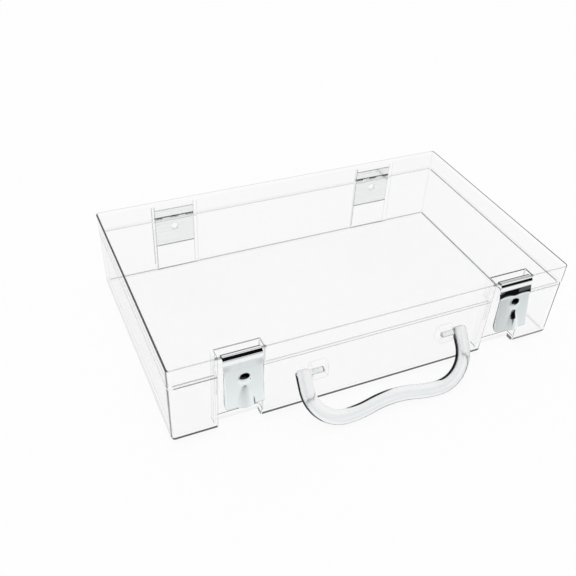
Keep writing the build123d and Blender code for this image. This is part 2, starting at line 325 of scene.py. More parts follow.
def makeSatin(name, look):
    material, tree = newMaterial(name)
    place = addNode(tree, "TexCoord").outputs["Object"]
    along = addNode(tree, "Mapping", {"Scale": look["brushScale"], 0: place})
    brush = addNode(tree, "TexNoise", {
        "Scale": look["brushing"], "Detail": look["brushDetail"], "Vector": along})
    share = addNode(tree, "MapRange", {
        **rising, "Value": brush, "From Min": look["brushFrom"], "From Max": look["brushTo"]})
    tint = addNode(tree, "Mix", {
        "data_type": "RGBA", 0: share, 6: hexColour(look["colour"]), 7: hexColour(look["brushTint"])})
    height = addNode(tree, "SeparateXYZ", {0: place}).outputs[2]
    # painted shadow lines across the sheet at the heights in edges
    for low, high, dark in look["edges"]:
        share = dark
        for way, edge in ((rising, low), (falling, high - look["edgeSoft"])):
            ramp = addNode(tree, "MapRange", {
                **way, "Value": height, "From Min": mm(edge), "From Max": mm(edge + look["edgeSoft"])})
            share = addNode(tree, "Math", {"operation": "MULTIPLY", 0: share, 1: ramp})
        tint = addNode(tree, "Mix", {
            "data_type": "RGBA", 0: share, 6: tint.outputs[2], 7: hexColour(look["paintedShadeColour"])})
    rough = addNode(tree, "Math", {
        "operation": "MULTIPLY_ADD", 0: brush, 1: look["brushRough"], 2: look["roughness"]})
    metal = addNode(tree, "BsdfPrincipled", {
        "Metallic": look["metallic"], "Base Color": tint.outputs[2], "Roughness": rough})
    addNode(tree, "OutputMaterial", {"Surface": metal})
    return material


clear = makeWall("crystalPolystyrene", wallLook)
bar = makeBar("crystalPolystyreneBar", barLook)
plated = makePlated("brightNickelPlate", platedLook)
satin = makeSatin("satinZincPlate", satinLook)
wire = makeSatin("drawnWire", wireLook)
for name, node in nodes.items():
    node.data.materials.clear()
    kind = clear if name in ("base_tray", "lid", "handle") else wire if "pin" in name else satin
    node.data.materials.append(kind)
print("materials made")


def finishPiece(piece, body, node):
    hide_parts(node)
    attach(piece, body)


def smoothPiece(piece, material, sharpAngle):
    mesh = piece.data
    mesh.materials.clear()
    mesh.materials.append(material)
    mesh.shade_smooth()
    mesh.set_sharp_from_angle(angle=math.radians(sharpAngle))


def applyModifiers(piece):
    # the evaluated shape becomes the object's own plain mesh
    graph = bpy.context.evaluated_depsgraph_get()
    mesh = bpy.data.meshes.new_from_object(piece.evaluated_get(graph))
    piece.modifiers.clear()
    old = piece.data
    piece.data = mesh
    mesh.name = piece.name
    bpy.data.meshes.remove(old)


# The moulded tray and lid keep their CAD shape, with the fine round that a mould leaves on
# every sharp edge as real faces
shellLook = {
    "edgeWidth": mm(0.55),
    "edgeAngle": 32,  # degrees, less than this is no edge
    "flatAngle": 0.5,
    "sharpAngle": 60,
    "closest": mm(0.001),
    "smallFace": 1e-6,  # m2, the pieces where edges meet
    "smallShare": 0.35,
    "turning": 0.995,  # a face that looks straight along an axis is no round
    "grazeBack": 0.1,
    # where the case's edges and rounds lie, in mm
    "at": {
        "footTop": 3.4,
        "floorTop": 6,
        "cornerTop": 7.5,
        "seamLow": 43,
        "seamHigh": 45,
        "lidTop": 56,
        "roofLow": 59.0,
        "roofLeft": -138.9,
        "roofRight": 138.7,
        "footEnd": 137,
        "cornerEnd": 136,
        "seamEnd": 133,
        "floorEnd": 130,
        "floorSplit": -45.0,  # hidden behind the right latch
        "seamSplit": -105,
        "latchMiddle": 95.5,
        "latchReach": 19,
        "channelReach": 15,
        "channelRight": (-81.5, 105),  # left and right latch
        "edgeReach": 4,
        "hiddenLeft": -107.2,  # a channel's foot is behind its front edge up to here
        "hiddenRight": 89.3,
        "stripLeft": 80.4,
        "stripRight": 81.3,
        "front": -83,
        "seamFront": -83.3,
        "cornerFront": -80,
        "channelBack": -73,
        "innerFront": -70,
        "innerBack": 70,
        "recessFront": 78,
        "recessMiddle": 98,
        "recessReach": 30,
        "recessOuter": 83.6,
        "recessInner": 81.6,
        "stake": (83.5, 37.2),
        "stakeReach": 4,
        "bossReach": 60,
        "bossLow": 18,
        "bossHigh": 40,
        "halfWidth": 85,
    },
    # how dark the painted shade on each edge is, from 0 to 1
    "shades": {
        "roofLeft": 0.95,
        "roofRight": (0.97, 0.6),  # front and back
        "roofFront": 0.26,
        "roofBack": 0.35,
        "pocketRim": (0.55, 0.85),  # left and right latch
        "ceiling": 0.02,
        "seamFront": (0.36, 0.26),  # outer and inner edge
        "seamFrontLeft": (0.6, 0.45),
        "seamRight": (0.06, 0.62),
        "seamLeft": (0.12, 0.08),
        "seamBack": (0.06, 0.24),
        "seamLatch": 0.06,
        "channelLeft": (0.34, 0.6),  # left and right latch
        "channelRight": (0.3, 0.3),
        "channelBack": 0.08,
        "channelStrip": (0.75, 0.3),  # beside the right channel's left edge, low and above
        "channelCorner": (0.6, 1.0),  # low on the left front edge of each channel
        "channelHidden": 0.04,  # the foot behind that edge
        "upright": 0.12,
        "recess": (0.4, 0.03),  # corners that show, and those just behind them
        "floorBack": 0.45,
        "floorRight": (0.75, 0.2),  # back and front
        "floorFront": 0.3,
        "floorChannel": 0.85,
        "floorOther": 0.12,
        "footFront": (0.93, 0.75),  # left and right of the right latch
        "footChannel": 0.05,
        "footEnd": (0.12, 0.06),
        "footBack": 0.04,
        "boss": 0.07,
        "stake": 0.3,
        "cornerLeft": 0.85,
        "cornerLeftSpan": (0.7, 0.85, 0.96, 1.0),  # by how far its normal turns to the side
        "cornerRight": 0.9,
        "cornerRightSpan": (0.7, 0.88),
        "cornerInner": 0.03,
    },
    # limits on the parts of a face's normal, for how it faces
    "limits": {
        "upright": 0.35,
        "wall": 0.3,
        "mostly": 0.5,
        "nearly": 0.9,
        "square": 0.99,
    },
}


def edgeShade(look, spot, normal):
    # painted shade for an edge face, by where it lies and how it faces
    shades, at, limits = look["shades"], look["at"], look["limits"]
    x, y, z = spot
    right = x > 0
    standing = abs(normal.z) < limits["upright"]
    nearLatch = abs(abs(x) - at["latchMiddle"]) < at["latchReach"] and y < at["innerFront"]
    hidden = x < at["hiddenLeft"] or 0 < x < at["hiddenRight"]
    if abs(x) < at["bossReach"] and y < at["cornerFront"] and at["bossLow"] < z < at["bossHigh"]:
        return shades["boss"]
    if y > at["recessFront"]:
        if math.hypot(abs(x) - at["stake"][0], z - at["stake"][1]) < at["stakeReach"]:
            return shades["stake"]
        if abs(abs(x) - at["recessMiddle"]) < at["recessReach"] and standing:
            return shades["recess"][y > at["recessOuter"] if normal.y > 0 else y < at["recessInner"]]
    if z > at["lidTop"] and not standing:
        return shades["pocketRim"][right] if normal.z > 0 else shades["ceiling"]
    if standing:
        if not nearLatch or normal.y >= 0:
            return shades["upright"]
        if z < at["seamHigh"] and y > at["front"]:
            return shades["channelBack"]
        if z < at["cornerTop"] and hidden:
            return shades["channelCorner"][right]
        onRight = abs(x - at["channelRight"][0]) < at["edgeReach"] or x > at["channelRight"][1]
        return shades["channelRight" if onRight else "channelLeft"][right]
    if z > at["seamLow"]:
        if nearLatch and y > at["seamFront"]:
            return shades["seamLatch"]
        if abs(x) > at["seamEnd"]:
            return shades["seamRight" if right else "seamLeft"][normal.x * x <= 0]
        if y > 0:
            return shades["seamBack"][normal.y <= 0]
        return shades["seamFrontLeft" if x < at["seamSplit"] else "seamFront"][normal.y >= 0]
    if z >= at["floorTop"]:
        return shades["upright"]
    if normal.z < 0:
        return shades["footChannel"] if y < 0 else shades["footBack"]
    if nearLatch:
        return shades["channelHidden"] if hidden and y > at["front"] else shades["floorChannel"]
    if x > at["floorEnd"]:
        return shades["floorRight"][y < at["floorSplit"]]
    if y < at["innerFront"]:
        return shades["floorFront"]
    return shades["floorBack"] if y > at["innerBack"] else shades["floorOther"]


def roundShade(look, middle, facing, normal):
    # painted shade on the wide rounds of the case, by the middle and the facing of each piece of surface
    shades, at, limits = look["shades"], look["at"], look["limits"]
    x, y, z = middle
    right = x > 0
    square = max(abs(v) for v in facing)
    fromLatch = abs(abs(x) - at["latchMiddle"])
    if z > at["roofLow"] and abs(x) > at["roofRight"]:
        back = smoothStep(-at["halfWidth"], at["halfWidth"], y)
        front, rear = shades["roofRight"]
        return front * (1 - back) + rear * back if right else shades["roofLeft"]
    if z > at["roofLow"]:
        if square < limits["square"]:
            return shades["roofFront"] if y < 0 else shades["roofBack"]
    elif z >= at["footTop"]:
        if at["stripLeft"] < x < at["stripRight"] and facing.y < -limits["nearly"] and y < at["front"]:
            return shades["channelStrip"][z > at["cornerTop"]]
    else:
        if facing.y < -limits["wall"] and y < at["front"]:
            return shades["footFront"][x > at["channelRight"][1]]
        if fromLatch < at["channelReach"] and at["front"] < y < at["channelBack"]:
            if x < at["hiddenLeft"] or 0 < x < at["hiddenRight"]:
                return shades["channelHidden"]
        if fromLatch < at["latchReach"] and y < at["channelBack"] and facing.z < limits["wall"]:
            inner = max(facing.y, abs(facing.x)) > limits["mostly"]
            return shades["floorChannel" if inner else "footChannel"]
        if square < limits["square"] and facing.z < 0:
            return shades["footEnd"][right] if abs(x) > at["footEnd"] else shades["footBack"]
    if abs(normal.z) >= limits["wall"] or square >= limits["square"]:
        return 0.0
    if abs(x) > at["cornerEnd"] and y < at["cornerFront"]:
        if right:
            return shades["cornerRight"] * smoothStep(*shades["cornerRightSpan"], normal.x)
        return shades["cornerLeft"] * hump(shades["cornerLeftSpan"], -normal.x)
    return shades["cornerInner"] if square < limits["nearly"] else 0.0


def makeShell(node, look, material, body):
    at = look["at"]
    mesh = nodes[node].data.copy()
    shape = bmesh.new()
    shape.from_mesh(mesh)
    bmesh.ops.remove_doubles(shape, verts=shape.verts, dist=look["closest"])
    bmesh.ops.dissolve_limit(
        shape, angle_limit=math.radians(look["flatAngle"]), verts=shape.verts, edges=shape.edges)
    shape.to_mesh(mesh)
    shape.free()
    mesh.name = node + "_moulded"
    shell = addObject(mesh.name, mesh)
    # the new edge faces are told from the others by a second material slot, for a while
    mesh.materials.clear()
    mesh.materials.append(material)
    mesh.materials.append(material)
    rounding = shell.modifiers.new("edgeRounding", "BEVEL")
    rounding.width = look["edgeWidth"]
    rounding.segments = 1
    rounding.limit_method = "ANGLE"
    rounding.angle_limit = math.radians(look["edgeAngle"])
    rounding.material = 1
    rounding.use_clamp_overlap = False
    applyModifiers(shell)
    # cuts along which the painted shade of the edges changes
    shape = bmesh.new()
    shape.from_mesh(shell.data)
    cuts = [("z", name) for name in ("footTop", "cornerTop", "roofLow")]
    cuts += [("x", name) for name in ("roofLeft", "hiddenLeft", "stripLeft", "hiddenRight", "roofRight")]
    for axis, name in cuts + [("y", "floorSplit")]:
        way = Vector((axis == "x", axis == "y", axis == "z"))
        bmesh.ops.bisect_plane(
            shape, geom=shape.verts[:] + shape.edges[:] + shape.faces[:], dist=look["closest"],
            plane_co=way * mm(at[name]), plane_no=way)
    shape.to_mesh(shell.data)
    shape.free()
    shell.data.shade_smooth()
    shell.data.set_sharp_from_angle(angle=math.radians(look["sharpAngle"]))
    # flat faces stay flat and the rounds take up the turn
    evening = shell.modifiers.new("evenNormals", "WEIGHTED_NORMAL")
    evening.keep_sharp = True
    applyModifiers(shell)
    mesh = shell.data
    # painted shade for each corner: edge faces by edgeShade, rounds by roundShade, and which rounds take
    # more painted shade at a glance
    shade = mesh.attributes.new("edgeShade", "FLOAT", "CORNER")
    rounded = mesh.attributes.new("paintedGrazeShare", "FLOAT", "CORNER")
    for face in mesh.polygons:
        middle, facing = face.center * 1000, face.normal
        for corner in face.loop_indices:
            if face.material_index:
                small = look["smallShare"] if face.area < look["smallFace"] else 1.0
                shade.data[corner].value = edgeShade(look, middle, facing) * small
            else:
                normal = mesh.corner_normals[corner].vector
                shade.data[corner].value = roundShade(look, middle, facing, normal)
                turning = max(abs(v) for v in facing) < look["turning"]
                inFront = facing.y < look["grazeBack"] and middle.y < 0
                rounded.data[corner].value = float(turning and inFront)
        face.material_index = 0
    mesh.materials.pop(index=1)
    finishPiece(shell, body, node)


for node, body in (("base_tray", "base"), ("lid", "lid")):
    makeShell(node, shellLook, clear, body)
print("tray and lid finished")


# Latch levers: sheet steel rolled round a wire, with a pressed dome and a pressed finger bulge
leverLook = {
    "centre": 95.5,
    "pinY": -83.5,
    "pinZ": 58.5,
    "width": 24.5,
    "sheet": 0.8,
    "curlRadius": 1.25,
    "curlSweep": 200,
    "stripDepth": 3.9,
    "frontRadius": 2.0,
    "bandHeight": 4.6,
    "kinkStep": 1.15,
    "kinkHeight": 4.9,
    "kinkRadius": 4.0,
    "lean": 10,
    "bottom": 24.8,
    "flangeBend": 1.0,
    "flangeDepth": 3.7,
    "flangeFoot": 1.5,
    "flangeLow": 29.0,
    "flangeStart": 5.0,  # mm down the plate until the flanges stand
    "flangeRows": [0.12, 0.25, 0.4, 0.55, 0.7, 0.85, 1.0],
    "domeHeight": 43.4,
    "domeRadius": 4.0,
    "domeRise": 1.5,
    "bulgeTop": 39.4,
    "bulgeHalf": 5.6,
    "bulgeRise": 2.2,
    "bulgeSwell": 0.75,
    "step": 0.42,
    "rowStep": 0.3,
    "slack": 0.01,  # mm above the plate's top that count as plate
    "curlStep": 12,  # degrees
    "turnStep": 7,
    "blendRounds": 2,
    "blendKeep": 0.4,
    "sharpAngle": 40,
    # how dark the painted shade and painted black reflections on the folds and pressings are, and where:
    # four mm are a rise and a fall
    "shades": {
        "topLow": 0.2,
        "topBack": 1.3,
        "backLine": 0.85,
        "backLineAt": (-83.9, -83.6, -82.3, -82.0),
        "seamLine": 0.5,
        "seamLineAt": (-85.4, -85.1, -84.7, -84.4),
        "topGrey": (0.05, 0.35),  # left and right lever
        "topGreyAt": (-85.6, -85.1, -83.1, -82.9),
        "topEnds": 0.8,
        "topEndsAt": (0.9, 0.5),
        "kink": 0.97,
        "kinkBelow": 1.5,
        "kinkTop": 0.08,  # shares of the kink's height
        "kinkTopRise": 0.25,
        "kinkTopRight": (3, 9),
        "kinkTopLeft": (-7, -11),
        "kinkTopSoft": 0.1,
        "kinkLow": 0.95,
        "kinkLowWave": 0.12,
        "kinkLowTurn": 0.5,
        "kinkLowSoft": (0.08, -0.04),
        "gleam": 0.9,
        "gleamAt": (2, 3),
        "gleamLow": (0.75, 0.6),
        "gleamTop": 0.2,
        "gleamLean": 8,
        "kinkPatch": 0.16,
        "kinkPatchAt": (6, 1.5),
        "dome": 0.97,
        "domeUp": 1.7,
        "domeHalf": (3.0, 2.0),
        "domeReach": 1.3,
        "domeEdge": (1.1, 0.9),
        "domeLow": 1.0,
        "domeLowAt": (0.8, 0.3),
        "wedge": 0.97,
        "wedgeRise": 0.25,
        "wedgeAside": 0.6,
        "wedgeLean": 0.12,
        "wedgeSpread": 0.05,
        "wedgeLeft": (-2.4, -1.9),
        "wedgeRight": (1.6, 1.2),
        "wedgeAt": (0.6, 1.2, 6.2, 6.8),
        "lowEdge": 0.35,
        "lowEdgeAt": (0.5, 0.2),
        "rightPlate": 0.24,
        "rightPlateLeast": 0.4,
        "rightPlateAt": (0, -9),
        "sliver": 0.85,
        "sliverTop": 30.5,
        "sliverAside": 5.0,
        "sliverLean": 0.06,
        "sliverFrom": (0.35, 0.07),  # mm wide, and how it widens on its way down
        "sliverTo": (0.1, 0.05),
        "sliverSoft": 1.5,
        "flangeEdge": 0.8,
    },
}


def roundedPath(points, radii, step, turnStep):
    # a polyline in a plane with round corners, as evenly spaced points with their directions
    samples = []
    start = Vector(points[0])
    for index in range(1, len(points)):
        corner = Vector(points[index])
        way = (corner - start).normalized()
        reach = 0
        if radii[index]:
            after = (Vector(points[index + 1]) - corner).normalized()
            turn = way.angle_signed(after)
            reach = radii[index] * math.tan(abs(turn) / 2)
        entry = corner - way * reach
        count = max(1, round((entry - start).length / step))
        samples += [(start.lerp(entry, i / count), way) for i in range(count)]
        start = corner
        if radii[index]:
            start = corner + after * reach
            centre = entry + Vector((way.y, -way.x)) * math.copysign(radii[index], turn)
            count = max(3, math.ceil(abs(math.degrees(turn)) / turnStep))
            for i in range(count):
                turned = Matrix.Rotation(-turn * i / count, 2)
                samples.append((centre + turned @ (entry - centre), turned @ way))
    samples.append((corner, way))
    return samples


def pressedHeight(look, across, down, bulgeStart, domeStart, bulgeLength):
    # how far the pressings stand out of the plate: a dome, and a round-nosed bulge that swells
    # towards the lever's bottom edge
    height = 0.0
    fromDome = math.hypot(across, down - domeStart)
    ball = (look["domeRadius"] ** 2 + look["domeRise"] ** 2) / (2 * look["domeRise"])
    if fromDome < look["domeRadius"]:
        height = math.sqrt(ball ** 2 - fromDome ** 2) - ball + look["domeRise"]
    share = (down - bulgeStart) / bulgeLength
    if share > 0:
        half = look["bulgeHalf"] * math.sqrt(share)
        swell = look["bulgeRise"] * share ** look["bulgeSwell"] * (1 - (across / half) ** 2)
        height = max(height, swell)
    return height


def topShade(look, shades, right, across, y):
    # painted shade in lines along the rolled end, and on its dark left end
    half = look["width"] / 2
    start, stop = shades["topEndsAt"]
    ends = smoothStep(half - start, half - stop, -across) * shades["topEnds"]
    back = hump(shades["backLineAt"], y) * shades["backLine"]
    seam = hump(shades["seamLineAt"], y) * shades["seamLine"]
    grey = hump(shades["topGreyAt"], y) * shades["topGrey"][right]
    return max(back, seam, grey, ends)


def kinkShade(look, shades, right, across, share):
    # share runs from 0 to 1 down the kink
    # on the left lever, painted shade in soft patches at both ends of the kink
    if not right:
        half = look["width"] / 2
        start, stop = shades["kinkPatchAt"]
        ends = smoothStep(half - start, half - stop, abs(across))
        return shades["kinkPatch"] * ends * math.sin(min(share, 1) * math.pi)
    # painted black reflection between two wavy edges, apart from a bright triangle at its right
    rise = smoothStep(*shades["kinkTopRight"], across) + smoothStep(*shades["kinkTopLeft"], across)
    top = shades["kinkTop"] + shades["kinkTopRise"] * rise
    low = shades["kinkLow"] + shades["kinkLowWave"] * math.cos(across * shades["kinkLowTurn"])
    lowFrom, lowTo = [low + soft for soft in shades["kinkLowSoft"]]
    inside = smoothStep(top, top + shades["kinkTopSoft"], share) * smoothStep(lowFrom, lowTo, share)
    slope = across - shades["gleamAt"][1] + (share - shades["gleamTop"]) * shades["gleamLean"]
    gleam = smoothStep(*shades["gleamAt"], across) * smoothStep(*shades["gleamLow"], share)
    return inside * shades["kink"] * (1 - gleam * smoothStep(0, 1, slope) * shades["gleam"])


def plateShade(look, shades, right, across, z, rise):
    # painted black reflections below the dome, in a wedge down the right bulge and in a sliver beside the
    # left one, and painted shade along the bottom edge and over the right plate
    fromDome = look["domeHeight"] + shades["domeUp"] - z
    wide, tall = shades["domeHalf"]
    lens = (across / wide) ** 2 + (fromDome / tall) ** 2
    if lens < shades["domeReach"] and fromDome < shades["domeLow"]:
        cut = smoothStep(*shades["domeLowAt"], fromDome)
        return smoothStep(*shades["domeEdge"], lens) * cut * shades["dome"]
    low = [look["bottom"] + edge for edge in shades["lowEdgeAt"]]
    low = smoothStep(*low, z) * shades["lowEdge"]
    if not right:
        drop = shades["sliverTop"] - z
        aside = abs(across - shades["sliverAside"] - drop * shades["sliverLean"])
        edges = [edge + drop * grow for edge, grow in (shades["sliverFrom"], shades["sliverTo"])]
        sliver = smoothStep(*edges, aside) * smoothStep(0, shades["sliverSoft"], drop)
        return max(low, sliver * shades["sliver"])
    if rise > shades["wedgeRise"] and z < look["bulgeTop"]:
        down = look["bulgeTop"] - z
        slope = across + shades["wedgeAside"] - down * shades["wedgeLean"]
        left, full = shades["wedgeLeft"]
        wedge = smoothStep(left - down * shades["wedgeSpread"], full, slope)
        wedge *= smoothStep(*shades["wedgeRight"], slope)
        return wedge * hump(shades["wedgeAt"], down) * shades["wedge"]
    least = shades["rightPlateLeast"]
    share = least + (1 - least) * smoothStep(*shades["rightPlateAt"], across)
    return max(low, shades["rightPlate"] * share)


def paintedLeverShade(look, shades, right, across, down, y, z, rise):
    # painted shade and painted reflections at a point of the lever; down is mm below the plate's top
    level = look["pinZ"] + look["curlRadius"]
    if z > level - shades["topLow"] and y < look["pinY"] + shades["topBack"]:
        return topShade(look, shades, right, across, y)
    fromTop = level - look["bandHeight"] - z
    if 0 < fromTop < look["kinkHeight"] + shades["kinkBelow"]:
        return kinkShade(look, shades, right, across, fromTop / look["kinkHeight"])
    return plateShade(look, shades, right, across, z, rise) if down >= 0 else 0.0


def flangeDepth(look, down, low, length):
    # how deep the side flanges stand, with a round foot
    deep = look["flangeDepth"]
    if down < low:
        return deep * down / low
    share = (down - low) / (length - low)
    return deep - (deep - look["flangeFoot"]) * (1 - math.sqrt(max(0, 1 - share * share)))


def flangeSpot(look, flat, part, depth, share):
    # a point of the flange across and out of the plate, from flat to fully bent
    radius = look["flangeBend"]
    bend = radius * math.pi / 2
    length = part * (max(depth - radius, 0.0) + bend)
    angle = min(length / radius, math.pi / 2)
    bent = Vector((
        flat + radius * math.sin(angle),
        radius * (1 - math.cos(angle)) + max(0.0, length - bend)))
    straight = Vector((flat + part * (radius + look["sheet"] / 2), 0.0))
    return straight.lerp(bent, share)


def makeLever(look, side, material):
    shades = look["shades"]
    lean = math.radians(look["lean"])
    level = look["pinZ"] + look["curlRadius"]
    stripEnd = look["pinY"] - look["stripDepth"]
    bandLow = level - look["bandHeight"]
    plateTop = Vector((stripEnd - look["kinkStep"], bandLow - look["kinkHeight"]))
    plateLow = Vector((
        plateTop.x - (plateTop.y - look["bottom"]) * math.tan(lean), look["bottom"]))
    plateWay = (plateLow - plateTop).normalized()
    plateLength = (plateLow - plateTop).length
    # the sheet's middle line in Y and Z, from the rolled end to the bottom
    line = []
    pin = Vector((look["pinY"], look["pinZ"]))
    count = round(look["curlSweep"] / look["curlStep"])
    for index in range(count):
        angle = math.radians(90 - look["curlSweep"] * (1 - index / count))
        outward = Vector((math.cos(angle), math.sin(angle)))
        line.append((pin + outward * look["curlRadius"], Vector((-outward.y, outward.x))))
    line += roundedPath(
        [(look["pinY"], level), (stripEnd, level), (stripEnd, bandLow), plateTop, plateLow],
        [0, look["frontRadius"], look["kinkRadius"], look["kinkRadius"], 0],
        look["rowStep"], look["turnStep"])
    # columns across the plate, between the flanges
    flat = look["width"] / 2 - look["sheet"] / 2 - look["flangeBend"]
    plateCount = round(2 * flat / look["step"])
    columns = [-flat + 2 * flat * i / plateCount for i in range(plateCount + 1)]
    domeStart, bulgeStart, flangeLow = [
        (plateTop.y - look[name]) / math.cos(lean) for name in ("domeHeight", "bulgeTop", "flangeLow")]
    rows = []
    for spot, heading in line:
        out = Vector((heading.y, -heading.x))
        if out.x > 0 and spot.y < level - look["frontRadius"]:
            out = -out
        down = (spot - plateTop).dot(plateWay) if spot.y < plateTop.y + look["slack"] else -1
        share = smoothStep(0, look["flangeStart"], down)
        depth = flangeDepth(look, down, flangeLow, plateLength)
        flange = [flangeSpot(look, flat, part, depth, share) for part in look["flangeRows"]]
        row = [(-place.x, -place.y) for place in reversed(flange)]
        row += [(across, pressedHeight(
            look, across, down, bulgeStart, domeStart, plateLength - bulgeStart)) for across in columns]
        rows.append((spot, out, row + [(place.x, -place.y) for place in flange]))
    # the pressings blend into the plate, as drawn sheet does
    heights = [[point[1] for point in row] for _, _, row in rows]
    first = len(look["flangeRows"]) + 1
    for _ in range(look["blendRounds"]):
        smooth = [list(row) for row in heights]
        for i in range(1, len(heights) - 1):
            for j in range(first, len(heights[i]) - first):
                near = (heights[i - 1][j], heights[i + 1][j], heights[i][j - 1], heights[i][j + 1])
                smooth[i][j] = heights[i][j] * look["blendKeep"] + sum(near) * (1 - look["blendKeep"]) / 4
        heights = smooth
    wide = len(heights[0])
    vertices = []
    folds = []
    for (spot, out, row), rises in zip(rows, heights):
        for index, ((across, _), rise) in enumerate(zip(row, rises)):
            y, z = spot + out * rise
            vertices.append((mm(sides[side] * look["centre"] + across), mm(y), mm(z)))
            down = plateTop.y - z
            # painted shade and reflections for each vertex, and painted shade along the flanges' far edges
            shade = paintedLeverShade(look, shades, side == "right", across, down, y, z, rise)
            if down > 0 and min(index, wide - 1 - index) < 2:
                shade = max(shade, shades["flangeEdge"])
            folds.append(shade)
    corners = [i * wide + j for i in range(len(rows) - 1) for j in range(wide - 1)]
    mesh = bpy.data.meshes.new("latchLever_" + side)
    mesh.from_pydata(vertices, [], [(a, a + wide, a + wide + 1, a + 1) for a in corners])
    mesh.attributes.new("paintedLeverShade", "FLOAT", "POINT").data.foreach_set("value", folds)
    mesh.validate()
    lever = addObject(mesh.name, mesh)
    wall = lever.modifiers.new("sheet", "SOLIDIFY")
    wall.thickness = mm(look["sheet"])
    wall.offset = 0
    wall.use_even_offset = False
    applyModifiers(lever)
    smoothPiece(lever, material, look["sharpAngle"])
    finishPiece(lever, "latch_" + side, "latch_lever_" + side)


for side in sides:
    makeLever(leverLook, side, plated)
print("latch levers made")


# Bail handle: one moulded bar with rounded edges, swept along its bow, and two stubs
handleLook = {
    "pivotY": -87.818,
    "pivotZ": 31.0,
    "restAngle": 53.19,  # degrees below level
    "armX": 56.4,
    "armLength": 9.4,
    "armSteps": 6,
    "armBend": 23.0,
    "bendSteps": 20,
    "gripDip": 3.5,
    "gripSteps": 12,
    "width": 9.6,
    "thickness": 6.0,
    "edge": 2.6,
    "stubRadius": 1.8,
    "stubSides": 40,
    "stubEnd": 42.8,
    "stubRoot": 0.6,
    "rounds": 7,
    "endRound": 2.4,
    "endAngle": 60,
    "sharpAngle": 50,
}


def handlePath(look):
    # half the bow in the handle's own plane, from its middle to the pivot
    crestX = look["armX"] - look["armBend"]
    crestReach = look["armLength"] + look["armBend"]
    wave = (crestX ** 2 + look["gripDip"] ** 2) / (4 * look["gripDip"])
    swing = math.asin(crestX / 2 / wave)
    square = math.pi / 2
    # each arc's middle, radius, first angle, turn and number of steps
    arcs = [
        ((0, look["gripDip"] - crestReach - wave), wave, square, -swing, look["gripSteps"]),
        ((crestX, wave - crestReach), wave, -square - swing, swing, look["gripSteps"]),
        ((crestX, -look["armLength"]), look["armBend"], -square, square, look["bendSteps"]),
    ]
    points = []
    for middle, radius, first, turn, steps in arcs:
        for i in range(steps):
            angle = first + turn * i / steps
            points.append(Vector(middle) + Vector((math.cos(angle), math.sin(angle))) * radius)
    for i in range(look["armSteps"] + 1):
        points.append(Vector((look["armX"], -look["armLength"] * (1 - i / look["armSteps"]))))
    return points


def makeSweep():
    # a bar along any curve of edges: width in the curve's plane, thickness out of it
    tree = bpy.data.node_groups.new("roundedBar", "GeometryNodeTree")
    sockets = {
        "Geometry": "NodeSocketGeometry",
        "Width": "NodeSocketFloat",
        "Thickness": "NodeSocketFloat",
        "Edge": "NodeSocketFloat",
        "Rounds": "NodeSocketInt",
        "Material": "NodeSocketMaterial",
    }
    for name, kind in sockets.items():
        tree.interface.new_socket(name, in_out="INPUT", socket_type=kind)
    tree.interface.new_socket("Geometry", in_out="OUTPUT", socket_type="NodeSocketGeometry")
    given = tree.nodes.new("NodeGroupInput").outputs
    curve = addNode(tree, "MeshToCurve", {"Mesh": given["Geometry"]})
    curve = addNode(tree, "SetCurveNormal", {"mode": "Z_UP", "Curve": curve})
    section = addNode(tree, "CurvePrimitiveQuadrilateral", {
        "mode": "RECTANGLE", "Width": given["Width"], "Height": given["Thickness"]})
    section = addNode(tree, "FilletCurve", {
        "mode": "POLY", "Curve": section, "Count": given["Rounds"], "Radius": given["Edge"]})
    place = addNode(tree, "SplineParameter")
    section = addNode(tree, "StoreNamedAttribute", {
        "data_type": "FLOAT", "domain": "POINT", "Name": "aroundBar", "Geometry": section,
        "Value": place.outputs["Factor"]})
    bar = addNode(tree, "CurveToMesh", {"Fill Caps": True, "Curve": curve, "Profile Curve": section})
    bar = addNode(tree, "RealizeInstances", {"Geometry": bar})
    bar = addNode(tree, "SetMaterial", {"Geometry": bar, "Material": given["Material"]})
    tree.links.new(bar.outputs[0], tree.nodes.new("NodeGroupOutput").inputs[0])
    return tree


def makeStubs(look):
    # both stubs as one mesh, to be joined to the bar
    shape = bmesh.new()
    inner, outer = look["stubEnd"], look["armX"] - look["width"] / 2 + look["stubRoot"]
    radius = mm(look["stubRadius"])
    turn = Matrix.Rotation(math.radians(90), 4, "Y")
    for hand in sides.values():
        spot = (hand * (inner + outer) / 2, look["pivotY"], look["pivotZ"])
        place = Matrix.Translation([mm(v) for v in spot])
        bmesh.ops.create_cone(
            shape, cap_ends=True, segments=look["stubSides"], radius1=radius, radius2=radius,
            depth=mm(outer - inner), matrix=place @ turn)
    mesh = bpy.data.meshes.new("handleStubs")
    shape.to_mesh(mesh)
    shape.free()
    return addObject(mesh.name, mesh)


